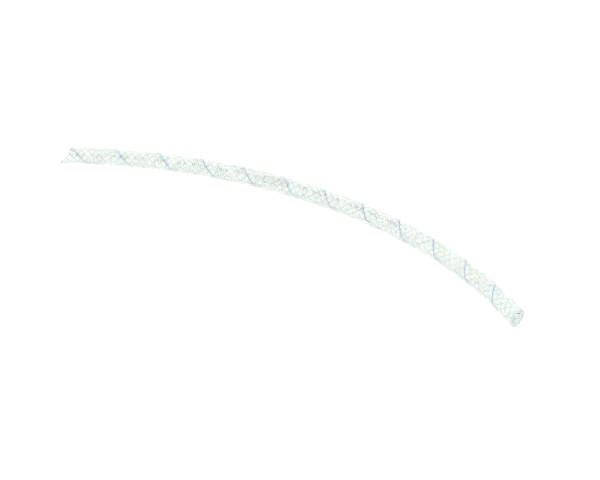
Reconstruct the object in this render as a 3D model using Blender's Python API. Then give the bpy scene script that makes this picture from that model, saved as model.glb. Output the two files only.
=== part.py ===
"""Clear yarn-reinforced PVC hose: the grip that a tow rope threads through, lying in its own slight curl.

+Z is up and the hose lies on Z = 0. +X runs along the chord from the slanted end to the far end, and the
curl bulges towards +Y. The wall is, from the bore outwards: a clear liner, six left-hand yarns, six
right-hand yarns wound over them (one of them the coloured tracer) and a clear cover.

The liner and the cover are each one continuous extrusion. Here each is divided into equal lengths that meet
end to end, so that every length is nearly straight and the bore stays open right through.
"""

import math

import bmesh
import bpy
import numpy as np
from mathutils import Vector

# Hose section, in metres. Interface radii are to the corners of their polygons, the other two to the flats.
BORE_RADIUS = 0.0040
LINER_RADIUS = 0.00515
LEFT_YARN_RADIUS = 0.00555
RIGHT_YARN_RADIUS = 0.00597
COVER_BORE_RADIUS = 0.00635
HOSE_RADIUS = 0.0070

# Reinforcement
YARNS_EACH_WAY = 6
YARN_PITCH = 0.0358
YARN_WIDTH = 0.0010
YARN_THICKNESS = 0.00022
TRACER_START = math.radians(-56)  # the tracer's place at the slanted end, from the top towards -Y
LEFT_START = math.radians(-26)

# The centreline seen from above: points that a smooth curve passes through, end to end
ROUTE = (
    (-0.2012, -0.0298),
    (-0.0985, 0.0158),
    (0.0015, 0.0300),
    (0.1015, 0.0178),
    (0.2066, -0.0308),
)

# Outward normals of the two knife cuts: the first is tilted back and up, the second is upright and off square
SLANTED_CUT = (-0.78, -0.30, 0.55)
FAR_CUT = (0.97, -0.24, 0.0)

LENGTHS = 7
LENGTH_GAP = 0.0003
RING_SPACING = 0.012
SURFACE_SIDES = 20
INTERFACE_SIDES = 10  # also the number of points in one turn of a yarn, so that yarns lie parallel to the walls

UP = Vector((0, 0, 1))


class Route:
    """The hose's centreline, measured by the distance along it from the slanted end."""

    def __init__(self, points, height):
        xs, ys = zip(*points)
        self.curve = np.polyfit(xs, ys, len(points) - 1)
        self.slope = np.polyder(self.curve)
        self.height = height
        self.x = np.linspace(xs[0], xs[-1], 2001)
        steps = np.hypot(np.diff(self.x), np.diff(np.polyval(self.curve, self.x)))
        self.run = np.concatenate([[0.0], np.cumsum(steps)])
        self.length = float(self.run[-1])

    def at(self, distance):
        """Returns (point, tangent, side). Past either end the line runs straight on."""
        inside = min(max(distance, 0.0), self.length)
        x = float(np.interp(inside, self.run, self.x))
        tangent = Vector((1, float(np.polyval(self.slope, x)), 0)).normalized()
        point = Vector((x, float(np.polyval(self.curve, x)), self.height))
        return point + tangent * (distance - inside), tangent, tangent.cross(UP)

    def off(self, distance, radius, angle):
        """The point at this radius from the centreline, at this angle from the top towards the side."""
        point, _, side = self.at(distance)
        return point + radius * (math.cos(angle) * UP + math.sin(angle) * side)


class Cut:
    """A plane across one end of the hose."""

    def __init__(self, route, distance, normal):
        self.centre, self.tangent, _ = route.at(distance)
        self.normal = Vector(normal).normalized()

    def beyond(self, point):
        return (point - self.centre).dot(self.normal)

    def slide(self, point):
        """The point moved along the hose onto the plane."""
        return point - self.tangent * (self.beyond(point) / self.tangent.dot(self.normal))


def corner_radius(flat_radius, sides):
    return flat_radius / math.cos(math.pi / sides)


def interface_radius(radius, angle):
    """The interface polygon's own radius at this angle, from the radius to its corners."""
    step = 2 * math.pi / INTERFACE_SIDES
    from_flat = (angle + step / 2) % step - step / 2
    return radius * math.cos(step / 2) / math.cos(from_flat)


def ring(route, distance, radius, sides, cut=None):
    """Points round the hose, with a flat of the polygon at the top and at the bottom."""
    points = [route.off(distance, radius, (k + 0.5) * 2 * math.pi / sides) for k in range(sides)]
    return [cut.slide(point) for point in points] if cut else points


def add_object(name, mesh, material):
    bm = bmesh.new()
    bm.from_mesh(mesh)
    bmesh.ops.recalc_face_normals(bm, faces=bm.faces)
    if bm.calc_volume(signed=True) < 0:
        bmesh.ops.reverse_faces(bm, faces=bm.faces)
    bm.to_mesh(mesh)
    bm.free()
    mesh.shade_smooth()
    mesh.set_sharp_from_angle(angle=math.radians(40))
    mesh.materials.append(material)
    obj = bpy.data.objects.new(name, mesh)
    bpy.context.scene.collection.objects.link(obj)
    return obj


def loft(bm, rings):
    """Joins each ring to the next with quads and returns the rings' vertices."""
    rows = [[bm.verts.new(point) for point in points] for points in rings]
    for near, far in zip(rows, rows[1:]):
        for k in range(len(near)):
            following = (k + 1) % len(near)
            bm.faces.new((near[k], near[following], far[following], far[k]))
    return rows


def loft_ribbon(bm, rings):
    """Joins rings of four corners with triangles. Both broad faces are divided along the same diagonal, so that
    the ribbon keeps its thickness as it twists."""
    rows = [[bm.verts.new(point) for point in points] for points in rings]
    for near, far in zip(rows, rows[1:]):
        for k in range(4):
            following = (k + 1) % 4
            if k >= 2:
                bm.faces.new((near[k], near[following], far[following]))
                bm.faces.new((near[k], far[following], far[k]))
            else:
                bm.faces.new((near[k], near[following], far[k]))
                bm.faces.new((near[following], far[following], far[k]))
    bm.faces.new(rows[0])
    bm.faces.new(rows[-1])


def join_loops(bm, inner, outer):
    """Closes the flat ring between two loops, one of which has twice the corners of the other."""
    few, many = (inner, outer) if len(inner) < len(outer) else (outer, inner)
    step = len(many) // len(few)
    for k, corner in enumerate(few):
        following = few[(k + 1) % len(few)]
        first = step * k
        spread = [many[(first + i) % len(many)] for i in range(step + 1)]
        for a, b in zip(spread[:-1], spread[1:]):
            bm.faces.new((corner, a, b))
        bm.faces.new((corner, spread[-1], following))


def tube(name, route, stations, inner, outer, cuts, material):
    """A length of pipe. inner and outer are (radius, sides), and cuts holds a Cut or None for each end."""
    bm = bmesh.new()
    ends = {0: cuts[0], len(stations) - 1: cuts[1]}
    surfaces = []
    for radius, sides in (inner, outer):
        rings = [ring(route, s, radius, sides, ends.get(i)) for i, s in enumerate(stations)]
        surfaces.append(loft(bm, rings))
    for end in (0, -1):
        join_loops(bm, surfaces[0][end], surfaces[1][end])
    mesh = bpy.data.meshes.new(name)
    bm.to_mesh(mesh)
    bm.free()
    return add_object(name, mesh, material)


def length_stations(route, number):
    """Distances of the rings of one of the equal lengths."""
    share = route.length / LENGTHS
    start = number * share + (LENGTH_GAP / 2 if number > 0 else 0)
    stop = (number + 1) * share - (LENGTH_GAP / 2 if number < LENGTHS - 1 else 0)
    return np.linspace(start, stop, round(share / RING_SPACING) + 1)


def tube_in_lengths(name, route, cuts, inner, outer, material):
    for number in range(LENGTHS):
        ends = (cuts[0] if number == 0 else None, cuts[1] if number == LENGTHS - 1 else None)
        tube(f"{name}_{number + 1}", route, length_stations(route, number), inner, outer, ends, material)


def yarn_ring(route, distance, corner, angle, hand):
    """The four corners of a yarn's flat section, square to the way it runs."""
    _, tangent, side = route.at(distance)
    radius = interface_radius(corner, angle)
    out = math.cos(angle) * UP + math.sin(angle) * side
    around = math.cos(angle) * side - math.sin(angle) * UP
    run = (tangent * YARN_PITCH / (2 * math.pi) + hand * radius * around).normalized()
    across = out.cross(run) * YARN_WIDTH / 2
    rise = out * YARN_THICKNESS / 2
    middle = route.off(distance, radius, angle)
    return [middle + across + rise, middle - across + rise, middle - across - rise, middle + across - rise]


def cut_distance(route, cut, radius, start, hand, guess):
    """Where a yarn's helix meets the plane of a cut."""
    distance = guess
    for _ in range(40):
        point = route.off(distance, radius, start + hand * 2 * math.pi * distance / YARN_PITCH)
        distance -= 0.5 * cut.beyond(point) / cut.tangent.dot(cut.normal)
    return distance


def yarn(name, route, cuts, radius, start, hand, material):
    """A flat yarn wound round the hose. hand is 1 for a right-hand helix and -1 for a left-hand one."""
    turn = 2 * math.pi
    first = cut_distance(route, cuts[0], radius, start, hand, 0.0)
    last = cut_distance(route, cuts[1], radius, start, hand, route.length)
    per_step = YARN_PITCH / INTERFACE_SIDES
    offset = ((0.5 * turn / INTERFACE_SIDES - start) * hand) % (turn / INTERFACE_SIDES)
    offset *= YARN_PITCH / turn
    count = math.ceil((route.length + 4 * HOSE_RADIUS) / per_step)
    marks = [offset + (k - 3) * per_step for k in range(count)]
    inside = [s for s in marks if first + YARN_WIDTH / 2 < s < last - YARN_WIDTH / 2]

    def section(distance):
        return yarn_ring(route, distance, radius, start + hand * turn * distance / YARN_PITCH, hand)

    rings = [[cuts[0].slide(point) for point in section(first)]]
    rings += [section(s) for s in inside]
    rings += [[cuts[1].slide(point) for point in section(last)]]
    bm = bmesh.new()
    loft_ribbon(bm, rings)
    mesh = bpy.data.meshes.new(name)
    bm.to_mesh(mesh)
    bm.free()
    return add_object(name, mesh, material)


def make_material(name, colour, roughness, alpha=1.0):
    material = bpy.data.materials.new(name)
    material.use_nodes = True
    shader = material.node_tree.nodes["Principled BSDF"]
    shader.inputs["Base Color"].default_value = (*colour, 1)
    shader.inputs["Roughness"].default_value = roughness
    shader.inputs["Metallic"].default_value = 0.0
    shader.inputs["Alpha"].default_value = alpha
    return material


def main():
    for obj in list(bpy.data.objects):
        bpy.data.objects.remove(obj, do_unlink=True)

    route = Route(ROUTE, HOSE_RADIUS)
    cuts = (Cut(route, 0.0, SLANTED_CUT), Cut(route, route.length, FAR_CUT))

    bore = (corner_radius(BORE_RADIUS, SURFACE_SIDES), SURFACE_SIDES)
    skin = (corner_radius(HOSE_RADIUS, SURFACE_SIDES), SURFACE_SIDES)
    liner_clear = make_material("liner_clear_pvc", (0.80, 0.85, 0.82), 0.15, 0.5)
    cover_clear = make_material("cover_clear_pvc", (0.82, 0.87, 0.84), 0.12, 0.5)
    tube_in_lengths("liner", route, cuts, bore, (LINER_RADIUS, INTERFACE_SIDES), liner_clear)
    tube_in_lengths("cover", route, cuts, (COVER_BORE_RADIUS, INTERFACE_SIDES), skin, cover_clear)

    polyester = make_material("yarn_white_polyester", (0.85, 0.88, 0.86), 0.6)
    tracer = make_material("tracer_blue_polyester", (0.03, 0.30, 0.70), 0.5)
    for k in range(YARNS_EACH_WAY):
        turned = k * 2 * math.pi / YARNS_EACH_WAY
        yarn(f"left_yarn_{k + 1}", route, cuts, LEFT_YARN_RADIUS, LEFT_START + turned, -1, polyester)
        name, material = (f"right_yarn_{k}", polyester) if k else ("tracer_yarn", tracer)
        yarn(name, route, cuts, RIGHT_YARN_RADIUS, TRACER_START + turned, 1, material)


main()
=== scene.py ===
"""Looks of a clear, yarn-reinforced PVC hose sleeve: the grip that a tow rope threads through.

The hose is built as it is made. A clear wall holds six left-hand polyester yarns with six right-hand ones
over them, one of which is the blue tracer, and a line of plain ink ticks is printed along one side. Every
piece follows one centreline, and lengths are in metres unless a name says otherwise.
"""

import logging
import math
from dataclasses import dataclass, field
from enum import Enum

import bpy
import numpy as np
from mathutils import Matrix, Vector


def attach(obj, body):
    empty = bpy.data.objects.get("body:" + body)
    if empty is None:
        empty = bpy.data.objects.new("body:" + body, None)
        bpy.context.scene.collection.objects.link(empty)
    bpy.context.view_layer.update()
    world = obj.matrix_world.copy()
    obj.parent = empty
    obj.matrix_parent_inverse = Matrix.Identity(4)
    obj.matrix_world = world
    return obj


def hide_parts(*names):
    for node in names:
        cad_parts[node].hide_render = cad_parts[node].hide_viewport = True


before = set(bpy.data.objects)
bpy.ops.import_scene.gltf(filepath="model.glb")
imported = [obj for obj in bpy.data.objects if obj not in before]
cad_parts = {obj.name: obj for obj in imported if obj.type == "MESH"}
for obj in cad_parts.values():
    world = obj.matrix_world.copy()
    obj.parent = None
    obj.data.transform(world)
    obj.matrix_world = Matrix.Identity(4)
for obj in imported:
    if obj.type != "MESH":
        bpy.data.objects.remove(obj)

MM = 0.001
TURN = 2 * math.pi
UP = np.array([0.0, 0.0, 1.0])
UV_LAYER = "Hose"
NOISE_LOW, NOISE_HIGH = 0.3, 0.7  # most of a noise texture's values lie between these
LOG = logging.getLogger("hose")


class Hand(Enum):
    """Which way a helix winds."""

    LEFT = -1
    RIGHT = 1


class Spot(Enum):
    """Which of a hose's two ends."""

    SLANTED = 0
    FAR = 1


class Zone(Enum):
    """Which surface of the wall a face belongs to, as its material slot."""

    OUTSIDE = 0
    CUT = 1
    BORE = 2


# --------------------------------------------------------------------------------- colour and nodes


def srgb(code: str) -> tuple[float, float, float, float]:
    """Turns an sRGB hex colour to the linear values that a shader takes.

    Args:
        code: six hex digits.

    Returns:
        Linear red, green, blue and an alpha of 1.
    """
    shares = [int(code[i : i + 2], 16) / 255 for i in (0, 2, 4)]
    linear = [s / 12.92 if s <= 0.04045 else ((s + 0.055) / 1.055) ** 2.4 for s in shares]
    return (*linear, 1.0)


def add_node(
    tree: bpy.types.NodeTree,
    kind: str,
    links: dict[str | int, object] | None = None,
    **settings: object,
) -> bpy.types.Node:
    """Adds one shader node.

    Args:
        tree: the material's node tree.
        kind: the node's type name, without its "ShaderNode" start.
        links: input name or index to an output socket, or to a plain value.
        settings: properties of the node itself.

    Returns:
        The new node.
    """
    node = tree.nodes.new("ShaderNode" + kind)
    for name, value in settings.items():
        setattr(node, name, value)
    for name, value in (links or {}).items():
        if isinstance(value, bpy.types.NodeSocket):
            tree.links.new(value, node.inputs[name])
        else:
            node.inputs[name].default_value = value
    return node


def new_material(name: str) -> tuple[bpy.types.Material, bpy.types.NodeTree, bpy.types.Node]:
    """Starts a material.

    Args:
        name: what it is made of and how its surface was made.

    Returns:
        The material, its node tree and its Principled shader.
    """
    material = bpy.data.materials.new(name)
    material.use_nodes = True
    tree = material.node_tree
    return material, tree, tree.nodes["Principled BSDF"]


# ----------------------------------------------------------------------------------------- finishes


@dataclass(frozen=True)
class ExtrudedPvc:
    """Plasticised clear PVC as it leaves the extruder: glossy, faintly grey-green and a little hazy.

    Its haze gives the eye a pale veil over the yarns inside. The draw lines along its length and a soft
    mottle of the gloss keep its highlights from looking like glass. Draw lines are about 0.1 mm apart on the
    real surface, and are drawn coarser here so that they show.
    """

    name: str
    tint: str
    clear: float
    roughness: float
    mottle: float = 0.04
    ior: float = 1.53
    mottle_mm: float = 9.0
    mottle_detail: float = 3.0
    mottle_softness: float = 0.55
    draw_line_mm: float = 0.45
    draw_run_mm: float = 60.0
    draw_line_detail: float = 2.0
    draw_line_bump: float = 0.12
    draw_line_depth: float = 0.02 * MM

    def make(self) -> bpy.types.Material:
        """Builds the material.

        Returns:
            The material of a skin of the wall.
        """
        material, tree, shader = new_material(self.name)
        along = add_node(tree, "UVMap", uv_map=UV_LAYER).outputs[0]
        cloud = add_node(tree, "TexNoise", {
            "Vector": along, "Scale": 1000 / self.mottle_mm,
            "Detail": self.mottle_detail, "Roughness": self.mottle_softness,
        })
        gloss = add_node(tree, "MapRange", {
            "Value": cloud.outputs[0], "From Min": NOISE_LOW, "From Max": NOISE_HIGH,
            "To Min": self.roughness, "To Max": self.roughness + self.mottle,
        })
        stretch = add_node(tree, "Mapping", {
            "Vector": along, "Scale": (1000 / self.draw_run_mm, 1000 / self.draw_line_mm, 1.0),
        })
        lines = add_node(tree, "TexNoise", {
            "Vector": stretch.outputs[0], "Scale": 1.0, "Detail": self.draw_line_detail,
        })
        bump = add_node(tree, "Bump", {
            "Height": lines.outputs[0], "Strength": self.draw_line_bump, "Distance": self.draw_line_depth,
        })
        shader.inputs["Base Color"].default_value = srgb(self.tint)
        shader.inputs["IOR"].default_value = self.ior
        shader.inputs["Transmission Weight"].default_value = self.clear
        tree.links.new(gloss.outputs[0], shader.inputs["Roughness"])
        tree.links.new(bump.outputs[0], shader.inputs["Normal"])
        return material


@dataclass(frozen=True)
class KnifeCutPvc:
    """The same PVC where a knife went through it: satin, and scored in fine parallel strokes.

    The scores scatter the light, so that the eye sees a light grey ring and not a clear one. They are 0.1 mm
    apart or less on a real cut, and are drawn coarser here so that they show.
    """

    name: str = "knife_cut_clear_pvc"
    tint: str = "D0D6D2"
    ior: float = 1.53
    clear: float = 0.35
    roughness: float = 0.28
    smoother: float = 0.06
    rougher: float = 0.12
    score_mm: float = 0.35
    scores_per_metre_along: float = 120.0
    score_detail: float = 3.0
    score_bump: float = 0.35
    score_depth: float = 0.05 * MM

    def make(self) -> bpy.types.Material:
        """Builds the material.

        Returns:
            The cut faces' material.
        """
        material, tree, shader = new_material(self.name)
        place = add_node(tree, "TexCoord").outputs["Object"]
        along = self.scores_per_metre_along
        stretch = add_node(tree, "Mapping", {"Vector": place, "Scale": (along, along, 1000 / self.score_mm)})
        strokes = add_node(tree, "TexNoise", {
            "Vector": stretch.outputs[0], "Scale": 1.0, "Detail": self.score_detail,
        })
        bump = add_node(tree, "Bump", {
            "Height": strokes.outputs[0], "Strength": self.score_bump, "Distance": self.score_depth,
        })
        rough = add_node(tree, "MapRange", {
            "Value": strokes.outputs[0], "From Min": NOISE_LOW, "From Max": NOISE_HIGH,
            "To Min": self.roughness - self.smoother, "To Max": self.roughness + self.rougher,
        })
        shader.inputs["Base Color"].default_value = srgb(self.tint)
        shader.inputs["IOR"].default_value = self.ior
        shader.inputs["Transmission Weight"].default_value = self.clear
        tree.links.new(rough.outputs[0], shader.inputs["Roughness"])
        tree.links.new(bump.outputs[0], shader.inputs["Normal"])
        return material


@dataclass(frozen=True)
class PolyesterYarn:
    """Flat multifilament polyester: hundreds of fine filaments side by side, with the soft sheen of thread.

    Its streaks run along the yarn, and give the eye thread and not paint. A real filament is about 0.02 mm
    across, and is drawn coarser here so that it shows. The cover is the share of the light that one side of a
    yarn stops: 1 for dyed yarn, and less for white yarn, which the PVC wets until it is half seen through.
    """

    name: str
    light: str
    dark: str
    cover: float = 1.0
    filament_mm: float = 0.09
    streak_mm: float = 4.0
    streak_detail: float = 2.0
    streak_bump: float = 0.4
    streak_depth: float = 0.03 * MM
    dark_below: float = 0.3
    light_above: float = 0.65
    roughness: float = 0.3
    rougher: float = 0.2
    sheen: float = 0.2

    def make(self) -> bpy.types.Material:
        """Builds the material.

        Returns:
            The yarn's material.
        """
        material, tree, shader = new_material(self.name)
        along = add_node(tree, "UVMap", uv_map=UV_LAYER).outputs[0]
        stretch = add_node(tree, "Mapping", {
            "Vector": along, "Scale": (1000 / self.streak_mm, 1000 / self.filament_mm, 1.0),
        })
        streak = add_node(tree, "TexNoise", {
            "Vector": stretch.outputs[0], "Scale": 1.0, "Detail": self.streak_detail,
        })
        colour = add_node(tree, "ValToRGB", {"Fac": streak.outputs[0]})
        ramp = ((self.dark_below, self.dark), (self.light_above, self.light))
        for stop, (position, code) in zip(colour.color_ramp.elements, ramp):
            stop.position, stop.color = position, srgb(code)
        rough = add_node(tree, "MapRange", {
            "Value": streak.outputs[0], "To Min": self.roughness, "To Max": self.roughness + self.rougher,
        })
        bump = add_node(tree, "Bump", {
            "Height": streak.outputs[0], "Strength": self.streak_bump, "Distance": self.streak_depth,
        })
        tree.links.new(colour.outputs[0], shader.inputs["Base Color"])
        tree.links.new(rough.outputs[0], shader.inputs["Roughness"])
        tree.links.new(bump.outputs[0], shader.inputs["Normal"])
        shader.inputs["Sheen Weight"].default_value = self.sheen
        shader.inputs["Alpha"].default_value = self.cover
        return material


@dataclass(frozen=True)
class JetPrintedInk:
    """Grey-black solvent ink jetted on PVC: thin, matt, and paler where its drops didn't join.

    A real drop is about 0.1 mm across, and is drawn coarser here so that the uneven ink shows.
    """

    name: str = "jet_printed_black_ink"
    solid: str = "70787A"
    faded: str = "9AA2A1"
    drop_mm: float = 0.4
    drop_detail: float = 2.0
    solid_below: float = 0.42
    faded_above: float = 0.62
    smoothest: float = 0.45
    roughest: float = 0.7

    def make(self) -> bpy.types.Material:
        """Builds the material.

        Returns:
            The ticks' material.
        """
        material, tree, shader = new_material(self.name)
        place = add_node(tree, "TexCoord").outputs["Object"]
        drops = add_node(tree, "TexNoise", {
            "Vector": place, "Scale": 1000 / self.drop_mm, "Detail": self.drop_detail,
        })
        colour = add_node(tree, "ValToRGB", {"Fac": drops.outputs[0]})
        ramp = ((self.solid_below, self.solid), (self.faded_above, self.faded))
        for stop, (position, code) in zip(colour.color_ramp.elements, ramp):
            stop.position, stop.color = position, srgb(code)
        rough = add_node(tree, "MapRange", {
            "Value": drops.outputs[0], "To Min": self.smoothest, "To Max": self.roughest,
        })
        tree.links.new(colour.outputs[0], shader.inputs["Base Color"])
        tree.links.new(rough.outputs[0], shader.inputs["Roughness"])
        return material


# ----------------------------------------------------------------------------------------- geometry


@dataclass
class HoseRoute:
    """The centreline, seen from above: points that a smooth curve passes through, end to end."""

    points: tuple[tuple[float, float], ...] = (
        (-0.2012, -0.0298),
        (-0.0985, 0.0158),
        (0.0015, 0.0300),
        (0.1015, 0.0178),
        (0.2066, -0.0308),
    )
    height: float = 0.0070
    samples: int = 2001
    curve: np.ndarray = field(init=False)
    x: np.ndarray = field(init=False)
    run: np.ndarray = field(init=False)

    def __post_init__(self) -> None:
        """Works out the curve and the distance along it."""
        xs, ys = zip(*self.points)
        self.curve = np.polyfit(xs, ys, len(xs) - 1)
        self.x = np.linspace(xs[0], xs[-1], self.samples)
        steps = np.hypot(np.diff(self.x), np.diff(np.polyval(self.curve, self.x)))
        self.run = np.concatenate([[0.0], np.cumsum(steps)])

    @property
    def length(self) -> float:
        """The distance from end to end."""
        return float(self.run[-1])

    def at(self, distance: np.ndarray) -> tuple[np.ndarray, np.ndarray, np.ndarray]:
        """Places on the line. Past either end it runs straight on.

        Args:
            distance: distances from the slanted end, of any shape.

        Returns:
            Points, directions of travel and directions to the side, each with a last axis of 3.
        """
        distance = np.asarray(distance, float)
        inside = np.clip(distance, 0.0, self.length)
        x = np.interp(inside, self.run, self.x)
        slope = np.polyval(np.polyder(self.curve), x)
        size = np.hypot(1.0, slope)
        flat = np.zeros_like(x)
        ahead = np.stack([1 / size, slope / size, flat], -1)
        side = np.stack([slope / size, -1 / size, flat], -1)
        point = np.stack([x, np.polyval(self.curve, x), flat + self.height], -1)
        return point + ahead * (distance - inside)[..., None], ahead, side

    def off(self, distance: np.ndarray, radius: np.ndarray, angle: np.ndarray) -> np.ndarray:
        """Points off the line.

        Args:
            distance: distances along the line.
            radius: distances from it.
            angle: angles from the top towards the side.

        Returns:
            The points, with a last axis of 3.
        """
        point, _, side = self.at(distance)
        out = np.cos(angle)[..., None] * UP + np.sin(angle)[..., None] * side
        return point + np.asarray(radius)[..., None] * out


@dataclass
class KnifeCut:
    """A flat cut across one end, given by its outward normal."""

    route: HoseRoute
    spot: Spot
    normal: tuple[float, float, float]

    @property
    def distance(self) -> float:
        """Where the cut crosses the centreline."""
        return 0.0 if self.spot is Spot.SLANTED else self.route.length

    def lead(self, radius: np.ndarray, angle: np.ndarray) -> np.ndarray:
        """How far along the hose the cut lies from its crossing of the centreline.

        Args:
            radius: distances from the centreline.
            angle: angles from the top towards the side.

        Returns:
            Distances along the hose, negative towards the slanted end.
        """
        _, ahead, side = self.route.at(np.array(self.distance))
        normal = np.array(self.normal)
        rise = np.cos(angle) * normal[2] + np.sin(angle) * (side @ normal)
        return -np.asarray(radius) * rise / (ahead @ normal)


def grid_mesh(
    name: str,
    points: np.ndarray,
    uv: np.ndarray,
    run_closed: bool = False,
) -> bpy.types.Object:
    """Makes a closed object from rings of points.

    Args:
        name: the object's name.
        points: shape (rings, columns, 3); each ring goes once round.
        uv: shape (rings, columns, 2), real distances in metres.
        run_closed: whether the last ring joins the first. If not, a face fills each of the two.

    Returns:
        The object, linked to the scene and shaded smooth. Any filling faces come last.
    """
    rows, columns = points.shape[:2]
    row = np.arange(rows if run_closed else rows - 1)[:, None]
    column = np.arange(columns)[None, :]
    next_row, next_column = (row + 1) % rows, (column + 1) % columns
    corners = (
        row * columns + column,
        row * columns + next_column,
        next_row * columns + next_column,
        next_row * columns + column,
    )
    faces = np.stack(corners, -1).reshape(-1, 4).tolist()
    if not run_closed:
        faces += [list(range(columns))[::-1], list(range((rows - 1) * columns, rows * columns))]
    mesh = bpy.data.meshes.new(name)
    mesh.from_pydata(points.reshape(-1, 3).tolist(), [], faces)
    layer = mesh.uv_layers.new(name=UV_LAYER)
    used = np.empty(len(mesh.loops), np.int32)
    mesh.loops.foreach_get("vertex_index", used)
    layer.data.foreach_set("uv", uv.reshape(-1, 2)[used].astype(np.float32).ravel())
    mesh.shade_smooth()
    obj = bpy.data.objects.new(name, mesh)
    bpy.context.scene.collection.objects.link(obj)
    return obj


def face_outwards(obj: bpy.types.Object) -> None:
    """Turns a closed mesh's faces outwards if they point in.

    Args:
        obj: the piece.
    """
    mesh = obj.data
    mesh.calc_loop_triangles()
    places = np.empty(len(mesh.vertices) * 3)
    mesh.vertices.foreach_get("co", places)
    corners = np.empty(len(mesh.loop_triangles) * 3, np.int32)
    mesh.loop_triangles.foreach_get("vertices", corners)
    a, b, c = places.reshape(-1, 3)[corners].reshape(-1, 3, 3).transpose(1, 0, 2)
    if np.einsum("ij,ij->", a, np.cross(b, c)) < 0:
        mesh.flip_normals()


# ----------------------------------------------------------------------------------- sub-assemblies


@dataclass
class YarnLayer:
    """One layer of yarns, all wound the same way at the same pitch.

    A yarn isn't quite even: it wanders a little round the hose, and swells and shrinks as it twists.
    """

    route: HoseRoute
    cuts: tuple[KnifeCut, KnifeCut]
    hand: Hand
    radius: float
    start: float
    count: int = 6
    pitch: float = 0.0358
    width: float = 0.88 * MM
    thickness: float = 0.24 * MM
    lobes: int = 4
    lobe_depth: float = 0.18
    outline_points: int = 20
    outline_length: float = 2.2  # once round the section, in widths
    rings_per_turn: int = 30
    proud: float = 0.02 * MM
    wander: float = 0.05 * MM
    wander_run: float = 0.047
    wander_shift: float = 1.7  # from one yarn to the next, in radians
    swell: float = 0.06
    swell_run: float = 0.011

    @property
    def slope(self) -> float:
        """The angle between a yarn and the hose's length."""
        return math.atan2(TURN * self.radius, self.pitch)

    def angle(self, number: int, distance: np.ndarray) -> np.ndarray:
        """A yarn's angle, from the top towards the side, at these distances along the hose."""
        return self.start + number * TURN / self.count + self.hand.value * TURN * distance / self.pitch

    def end(self, number: int, cut: KnifeCut) -> float:
        """Where a yarn comes out of a cut, found by stepping part of the way there again and again.

        Args:
            number: which yarn.
            cut: which cut.

        Returns:
            The distance along the hose.
        """
        steps, share = 60, 0.4
        distance = cut.distance
        for _ in range(steps):
            lead = cut.lead(np.array(self.radius), self.angle(number, np.array(distance)))
            distance += share * (cut.distance + float(lead) - distance)
        return distance

    def outline(self) -> tuple[np.ndarray, np.ndarray]:
        """The flat, lobed section of a bundle of filaments: a squared oval with grooves along it.

        Returns:
            Distances across the yarn and distances out from its middle, one of each for every point.
        """
        side_squareness, top_squareness = 0.7, 0.5
        turn = np.arange(self.outline_points) * TURN / self.outline_points
        across = np.sign(np.cos(turn)) * np.abs(np.cos(turn)) ** side_squareness * self.width / 2
        ridges = np.abs(np.cos(self.lobes * math.pi * across / self.width))
        lobed = 1 - self.lobe_depth + self.lobe_depth * ridges
        rise = np.sign(np.sin(turn)) * np.abs(np.sin(turn)) ** top_squareness * self.thickness / 2 * lobed
        return across, rise

    def build(self, number: int, name: str) -> bpy.types.Object:
        """Winds one yarn round the hose.

        Args:
            number: which yarn of the layer.
            name: the piece's name.

        Returns:
            The piece.
        """
        first, last = self.end(number, self.cuts[0]), self.end(number, self.cuts[1])
        rings = math.ceil((last - first) / self.pitch * self.rings_per_turn)
        distance = np.linspace(first, last, rings + 1)[:, None]
        aside = self.wander * np.sin(TURN * distance / self.wander_run + self.wander_shift * number)
        swell = 1 + self.swell * np.sin(TURN * distance / self.swell_run + number)
        across, rise = self.outline()
        wide = across[None] * swell
        along = distance - self.hand.value * wide * math.sin(self.slope)
        around = self.angle(number, distance) + (aside + wide * math.cos(self.slope)) / self.radius
        radius = np.broadcast_to(self.radius + rise[None], along.shape)
        for row, cut, sign in ((0, self.cuts[0], -1), (-1, self.cuts[1], 1)):
            along[row] = cut.distance + cut.lead(radius[row], around[row]) + sign * self.proud
        run = np.broadcast_to(distance / math.cos(self.slope), along.shape)
        once_round = np.linspace(0.0, self.outline_length * self.width, self.outline_points, endpoint=False)
        uv = np.stack([run, np.broadcast_to(once_round, along.shape)], -1)
        obj = grid_mesh(name, self.route.off(along, radius, around), uv)
        face_outwards(obj)
        return obj

    def dress(self, obj: bpy.types.Object, side: bpy.types.Material, ends: bpy.types.Material) -> None:
        """Gives a yarn its finishes.

        Args:
            obj: the yarn.
            side: the finish along its length.
            ends: the finish of its two cut ends, which are its last two faces.
        """
        obj.data.materials.append(side)
        obj.data.materials.append(ends)
        for cap in obj.data.polygons[-2:]:
            cap.material_index = 1


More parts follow.
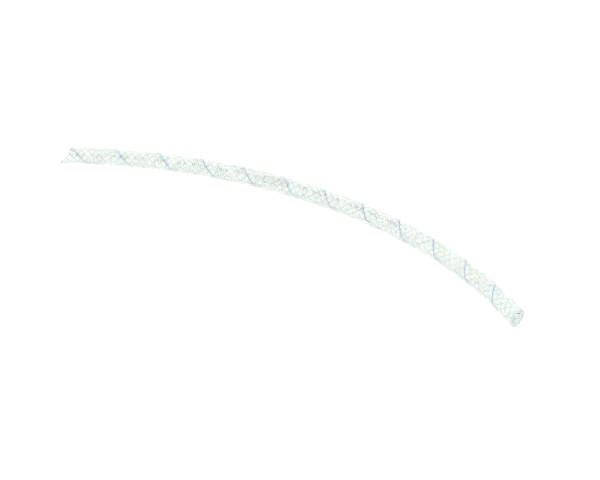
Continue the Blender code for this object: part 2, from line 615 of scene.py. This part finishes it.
@dataclass
class HoseWall:
    """The clear wall: cover and liner fused into one, with a bore, two cut faces and faint relief."""

    route: HoseRoute
    cuts: tuple[KnifeCut, KnifeCut]
    layers: tuple[YarnLayer, YarnLayer]
    outer: float = 7.0 * MM
    bore: float = 4.0 * MM
    seam: float = 5.72 * MM
    edge: float = 0.16 * MM
    relief: float = 0.05 * MM
    relief_sharpness: int = 3
    relief_fade: float = 4 * MM
    least_relief: float = 0.15
    columns: int = 72
    outer_step: float = 0.8 * MM
    bore_step: float = 2.4 * MM
    margin: float = 0.5 * MM
    blend: float = 22 * MM

    def face_profile(self) -> list[tuple[float, float]]:
        """One cut face from the bore's edge to the outside's, with both edges a little rounded.

        A fine groove shows where the cover meets the liner.

        Returns:
            Pairs of depth behind the cut and radius.
        """
        edge = self.edge
        return [
            (2.2 * edge, self.bore),
            (0.9 * edge, self.bore + 0.1 * edge),
            (0.25 * edge, self.bore + 0.5 * edge),
            (0.0, self.bore + 1.4 * edge),
            (0.0, self.seam - 2.5 * edge),
            (0.0, self.seam - 0.5 * edge),
            (0.35 * edge, self.seam),
            (0.0, self.seam + 0.5 * edge),
            (0.0, self.seam + 2.5 * edge),
            (0.0, self.outer - 1.4 * edge),
            (0.25 * edge, self.outer - 0.5 * edge),
            (0.9 * edge, self.outer - 0.1 * edge),
        ]

    def stations(self, step: float) -> np.ndarray:
        """Distances of the rings between the two cuts, about a step apart and in rising order."""
        count = math.ceil((self.route.length - 2 * self.margin) / step)
        return np.linspace(self.margin, self.route.length - self.margin, count + 1)

    def sunk(self, distance: np.ndarray, angle: np.ndarray) -> np.ndarray:
        """How far the outside lies below its full radius: least over a yarn, most between yarns.

        Args:
            distance: distances along the hose.
            angle: angles from the top towards the side.

        Returns:
            Depths.
        """
        ridge = np.zeros(np.broadcast(distance, angle).shape)
        for layer in self.layers:
            phase = layer.count * (angle - layer.angle(0, distance))
            ridge = np.maximum(ridge, (0.5 + 0.5 * np.cos(phase)) ** self.relief_sharpness)
        near_end = np.minimum(distance, self.route.length - distance) / self.relief_fade
        return self.relief * (1 - ridge) * np.clip(near_end, self.least_relief, 1.0)

    def cut_rings(self, cut: KnifeCut, angle: np.ndarray) -> list[tuple[np.ndarray, np.ndarray, Zone]]:
        """The rings across one cut face, from the bore's edge outwards.

        Args:
            cut: which cut.
            angle: the columns' angles.

        Returns:
            Each ring's distances, radii and zone.
        """
        inwards = 1 if cut.spot is Spot.SLANTED else -1
        made = []
        for depth, radius in self.face_profile():
            radii = np.full(self.columns, radius)
            made.append((cut.distance + inwards * depth + cut.lead(radii, angle), radii, Zone.CUT))
        return made

    def side_rings(self, zone: Zone, angle: np.ndarray) -> list[tuple[np.ndarray, np.ndarray, Zone]]:
        """The rings of the outside or of the bore. Near a cut they lean as the cut does.

        Args:
            zone: outside or bore.
            angle: the columns' angles.

        Returns:
            Each ring's distances, radii and zone, in rising order along the hose.
        """
        outside = zone is Zone.OUTSIDE
        radii = np.full(self.columns, self.outer if outside else self.bore)
        made = []
        for place in self.stations(self.outer_step if outside else self.bore_step):
            ring = np.full(self.columns, place)
            for cut in self.cuts:
                share = np.clip(1 - abs(place - cut.distance) / self.blend, 0.0, 1.0)
                ring = ring + share * cut.lead(radii, angle)
            made.append((ring, radii - self.sunk(ring, angle) if outside else radii, zone))
        return made

    def rings(self) -> list[tuple[np.ndarray, np.ndarray, Zone]]:
        """All the rings in order: the slanted cut, the outside, the far cut and the bore.

        Returns:
            Each ring's distances, radii and zone.
        """
        angle = self.angles()
        slanted, far = self.cuts
        made = self.cut_rings(slanted, angle) + self.side_rings(Zone.OUTSIDE, angle)
        return made + self.cut_rings(far, angle)[::-1] + self.side_rings(Zone.BORE, angle)[::-1]

    def angles(self) -> np.ndarray:
        """The columns' angles from the top towards the side."""
        return np.arange(self.columns) * TURN / self.columns

    def build(self) -> bpy.types.Object:
        """Makes the wall.

        Returns:
            The piece.
        """
        distances, radii, _ = zip(*self.rings())
        distance, radius = np.array(distances), np.array(radii)
        angle = np.broadcast_to(self.angles(), distance.shape)
        uv = np.stack([distance, angle * self.outer], -1)
        obj = grid_mesh("hose_wall", self.route.off(distance, radius, angle), uv, run_closed=True)
        face_outwards(obj)
        return obj

    def dress(
        self,
        obj: bpy.types.Object,
        outside: bpy.types.Material,
        cut: bpy.types.Material,
        bore: bpy.types.Material,
    ) -> None:
        """Gives the wall its finishes, in the order of their zones.

        Args:
            obj: the wall.
            outside: the outside's finish.
            cut: the cut faces' finish.
            bore: the bore's finish.
        """
        for material in (outside, cut, bore):
            obj.data.materials.append(material)
        zones = [zone for _, _, zone in self.rings()]
        slots = []
        for zone, following in zip(zones, zones[1:] + zones[:1]):
            cut_face = zone is Zone.CUT and following is Zone.CUT
            in_bore = Zone.BORE in (zone, following)
            slots.append(Zone.CUT.value if cut_face else Zone.BORE.value if in_bore else Zone.OUTSIDE.value)
        obj.data.polygons.foreach_set("material_index", np.repeat(slots, self.columns).astype(np.int32))


@dataclass
class InkTicks:
    """A line of plain ticks printed along the hose: bars and dashes in groups, with one empty frame."""

    route: HoseRoute
    surface: float = 7.0 * MM
    film: float = 0.012 * MM
    height: float = 3.0 * MM
    short: float = 0.62  # of a full bar's height
    stroke: float = 0.42 * MM
    dash: float = 1.1 * MM
    dash_rise: float = 0.1  # of a full bar's height
    advance: float = 1.75 * MM
    groups: tuple[tuple[int, float], ...] = ((7, 5.8 * MM), (5, 5.2 * MM), (9, 5.8 * MM), (6, 5.2 * MM))
    first: float = 0.005
    last: float = 0.286
    start_angle: float = math.radians(60)
    end_angle: float = math.radians(34)
    frame_middle: float = 0.179
    frame_width: float = 22 * MM
    frame_height: float = 4.4 * MM
    frame_stroke: float = 0.3 * MM
    cell_along: float = 1.5 * MM
    cell_up: float = 0.6 * MM

    def place(self, along: np.ndarray, up: np.ndarray, lift: float) -> np.ndarray:
        """Points on the hose's surface. The line climbs slowly round the hose as it goes.

        Args:
            along: distances along the hose.
            up: distances round it from the middle of the line, towards the top.
            lift: distance above the surface.

        Returns:
            The points.
        """
        share = (along - self.first) / (self.last - self.first)
        middle = self.start_angle + (self.end_angle - self.start_angle) * share
        radius = np.full(along.shape, self.surface + lift)
        return self.route.off(along, radius, middle - up / self.surface)

    def ticks(self) -> list[tuple[float, float, float, float]]:
        """Every bar and dash. Counting on from the group's own number, every third one is a dash, and every
        fourth one that isn't a dash is a short bar.

        Returns:
            The middle's distance along and up, then the length along and the height, for each.
        """
        made = []
        along, group = self.first, 0
        while along < self.last:
            count, gap = self.groups[group % len(self.groups)]
            for k in range(group, group + count):
                if k % 3 == 2:
                    made.append((along, self.dash_rise * self.height, self.dash, self.stroke))
                else:
                    made.append((along, 0.0, self.stroke, self.height * (1.0 if k % 4 else self.short)))
                along += self.advance
            along += gap
            group += 1
        return made

    def empty_frame(self) -> list[tuple[float, float, float, float]]:
        """The four strokes of the empty frame.

        Returns:
            The middle's distance along and up, then the length along and the height, for each.
        """
        middle, wide, tall, thin = self.frame_middle, self.frame_width, self.frame_height, self.frame_stroke
        return [
            (middle, tall / 2, wide, thin),
            (middle, -tall / 2, wide, thin),
            (middle - wide / 2, 0.0, thin, tall),
            (middle + wide / 2, 0.0, thin, tall),
        ]

    def build(self) -> bpy.types.Object:
        """Prints the line.

        Returns:
            One piece that holds every stroke as a thin curved film, half of it sunk in the surface.
        """
        points, faces = [], []
        for middle, up, wide, tall in self.ticks() + self.empty_frame():
            nx = max(2, round(wide / self.cell_along) + 1)
            ny = max(2, round(tall / self.cell_up) + 1)
            x = middle + np.linspace(-wide / 2, wide / 2, nx)
            y = up + np.linspace(-tall / 2, tall / 2, ny)
            along, across = np.meshgrid(x, y, indexing="ij")
            faces += self.film_faces(len(points), nx, ny)
            for lift in (self.film, -self.film):
                points += self.place(along, across, lift).reshape(-1, 3).tolist()
        mesh = bpy.data.meshes.new("ink_ticks")
        mesh.from_pydata(points, [], faces)
        obj = bpy.data.objects.new("ink_ticks", mesh)
        bpy.context.scene.collection.objects.link(obj)
        face_outwards(obj)
        return obj

    def dress(self, obj: bpy.types.Object, ink: bpy.types.Material) -> None:
        """Gives the ticks their ink."""
        obj.data.materials.append(ink)

    @staticmethod
    def film_faces(base: int, nx: int, ny: int) -> list[tuple[int, int, int, int]]:
        """Faces of one closed film: its top, its underside and the rim between them.

        Args:
            base: the top grid's first point. The underside's grid follows the top's.
            nx: points along.
            ny: points across.

        Returns:
            The faces, as four point numbers each.
        """
        under = base + nx * ny
        faces = []
        for i in range(nx - 1):
            for j in range(ny - 1):
                a = i * ny + j
                b, c, d = a + 1, a + ny, a + ny + 1
                faces.append((base + c, base + d, base + b, base + a))
                faces.append((under + b, under + d, under + c, under + a))
        near = [i * ny for i in range(nx)]
        last = [(nx - 1) * ny + j for j in range(1, ny)]
        off = [i * ny + ny - 1 for i in range(nx - 2, -1, -1)]
        rim = near + last + off + list(range(ny - 2, 0, -1))
        for a, b in zip(rim, rim[1:] + rim[:1]):
            faces.append((under + a, under + b, base + b, base + a))
        return faces


@dataclass
class Studio:
    """A matt white light table in soft, even light from all round, with a long lens.

    The table glows nearly as brightly as the light round it, so that the hose lies on plain white with no
    shadow.
    """

    azimuth: float = 34.15
    elevation: float = 32.0
    distance: float = 1.2745
    target: tuple[float, float, float] = (0.02599, -0.03054, 0.007)
    lens_mm: float = 103.7
    sensor_mm: float = 36.0
    nearest: float = 0.01
    farthest: float = 20.0
    half_table: float = 3.0
    table: str = "505050"
    table_roughness: float = 0.9
    glow: str = "FFFFFF"
    glow_strength: float = 1.22
    sky: str = "FFFFFF"
    sky_strength: float = 1.52

    def camera(self) -> None:
        """Places the camera."""
        azimuth, elevation = math.radians(self.azimuth), math.radians(self.elevation)
        level = math.cos(elevation)
        back = Vector((math.sin(azimuth) * level, -math.cos(azimuth) * level, math.sin(elevation)))
        data = bpy.data.cameras.new("camera")
        data.lens = self.lens_mm
        data.sensor_width = self.sensor_mm
        data.clip_start = self.nearest
        data.clip_end = self.farthest
        camera = bpy.data.objects.new("camera", data)
        camera.location = Vector(self.target) + back * self.distance
        camera.rotation_mode = "QUATERNION"
        camera.rotation_quaternion = (-back).to_track_quat("-Z", "Y")
        bpy.context.scene.collection.objects.link(camera)
        bpy.context.scene.camera = camera

    def floor(self) -> None:
        """Lays the light table, which is far larger than the hose."""
        half = self.half_table
        mesh = bpy.data.meshes.new("floor")
        corners = [(-half, -half, 0), (half, -half, 0), (half, half, 0), (-half, half, 0)]
        mesh.from_pydata(corners, [], [(0, 1, 2, 3)])
        material, _, shader = new_material("matt_white_light_table")
        shader.inputs["Base Color"].default_value = srgb(self.table)
        shader.inputs["Roughness"].default_value = self.table_roughness
        shader.inputs["Emission Color"].default_value = srgb(self.glow)
        shader.inputs["Emission Strength"].default_value = self.glow_strength
        mesh.materials.append(material)
        floor = bpy.data.objects.new("floor", mesh)
        bpy.context.scene.collection.objects.link(floor)

    def light(self) -> None:
        """Fills the studio with even light."""
        world = bpy.data.worlds.new("studio")
        world.use_nodes = True
        background = world.node_tree.nodes["Background"]
        background.inputs["Color"].default_value = srgb(self.sky)
        background.inputs["Strength"].default_value = self.sky_strength
        bpy.context.scene.world = world
        bpy.context.scene.view_settings.view_transform = "Standard"


@dataclass
class HoseSleeve:
    """The whole sleeve: wall, twelve yarns and printed ticks."""

    route: HoseRoute = field(default_factory=HoseRoute)
    slanted_normal: tuple[float, float, float] = (-0.78, -0.30, 0.55)
    far_normal: tuple[float, float, float] = (0.97, -0.24, 0.0)
    left_radius: float = 5.48 * MM
    right_radius: float = 5.86 * MM
    left_start: float = math.radians(-26)
    tracer_start: float = math.radians(-56)
    diameter: float = 14 * MM
    path_points: int = 60
    cuts: tuple[KnifeCut, KnifeCut] = field(init=False)
    left: YarnLayer = field(init=False)
    right: YarnLayer = field(init=False)
    wall: HoseWall = field(init=False)

    def __post_init__(self) -> None:
        """Sets out the cuts, the yarn layers and the wall."""
        self.cuts = (
            KnifeCut(self.route, Spot.SLANTED, self.slanted_normal),
            KnifeCut(self.route, Spot.FAR, self.far_normal),
        )
        self.left = YarnLayer(self.route, self.cuts, Hand.LEFT, self.left_radius, self.left_start)
        self.right = YarnLayer(self.route, self.cuts, Hand.RIGHT, self.right_radius, self.tracer_start)
        self.wall = HoseWall(self.route, self.cuts, (self.left, self.right))

    def build_wall(self) -> bpy.types.Object:
        """Makes the clear wall, which stands for every length of liner and cover.

        Returns:
            The wall.
        """
        # Both skins let about three quarters of the light straight in, and the bore is the duller of the two.
        outside = ExtrudedPvc("extruded_clear_pvc_with_bloom", "F9FEFA", clear=0.77, roughness=0.22)
        bore = ExtrudedPvc("extruded_clear_pvc_bore", "FAFDFA", clear=0.74, roughness=0.3)
        wall = self.wall.build()
        self.wall.dress(wall, outside.make(), KnifeCutPvc().make(), bore.make())
        lengths = sorted(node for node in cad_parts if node.startswith(("liner_", "cover_")))
        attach(wall, "root")
        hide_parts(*lengths)
        LOG.info("%s: %d faces, for %d CAD nodes", wall.name, len(wall.data.polygons), len(lengths))
        return wall

    def build_yarns(self) -> list[bpy.types.Object]:
        """Winds both layers. The right-hand layer's first yarn is the tracer.

        Returns:
            The twelve yarns, each standing for its own CAD node.
        """
        # White yarn shows as a faint lattice, as the PVC wets it, and the dyed tracer as one sharp blue line.
        white = PolyesterYarn("wound_white_polyester_yarn", "FBFCFB", "F3F6F4", cover=0.38).make()
        blue = PolyesterYarn("wound_sky_blue_polyester_yarn", "1E98D0", "0C7CB8").make()
        # A cut end is dry and is seen into along its filaments, so that it looks grey.
        cut = PolyesterYarn("knife_cut_white_polyester_ends", "B2B7B4", "8C9290").make()
        made = []
        for number in range(self.left.count):
            yarn = self.left.build(number, f"left_thread_{number + 1}")
            self.left.dress(yarn, white, cut)
            made.append(self.put(yarn, f"left_yarn_{number + 1}"))
        tracer = self.right.build(0, "tracer_thread")
        self.right.dress(tracer, blue, blue)
        made.append(self.put(tracer, "tracer_yarn"))
        for number in range(1, self.right.count):
            yarn = self.right.build(number, f"right_thread_{number}")
            self.right.dress(yarn, white, cut)
            made.append(self.put(yarn, f"right_yarn_{number}"))
        return made

    def put(self, yarn: bpy.types.Object, node: str) -> bpy.types.Object:
        """Puts a yarn in the place of its CAD node.

        Args:
            yarn: the piece.
            node: the CAD node that it stands for.

        Returns:
            The same piece.
        """
        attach(yarn, "root")
        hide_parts(node)
        LOG.info("%s: %d faces, for %s", yarn.name, len(yarn.data.polygons), node)
        return yarn

    def build_ink(self) -> bpy.types.Object:
        """Prints the ticks on the cover.

        Returns:
            The ink.
        """
        ticks = InkTicks(self.route)
        ink = ticks.build()
        ticks.dress(ink, JetPrintedInk().make())
        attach(ink, "root")
        LOG.info("%s: %d faces", ink.name, len(ink.data.polygons))
        return ink

    def build(self) -> None:
        wall = self.build_wall()
        yarns = self.build_yarns()
        ink = self.build_ink()
        path, _, _ = self.route.at(np.linspace(0.0, self.route.length, self.path_points))


def main() -> None:
    """Builds the studio and the sleeve."""
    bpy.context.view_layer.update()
    studio = Studio()
    studio.camera()
    studio.floor()
    studio.light()
    HoseSleeve().build()


if __name__ == "__main__":
    logging.basicConfig(level=logging.INFO, format="%(name)s: %(message)s")
    main()
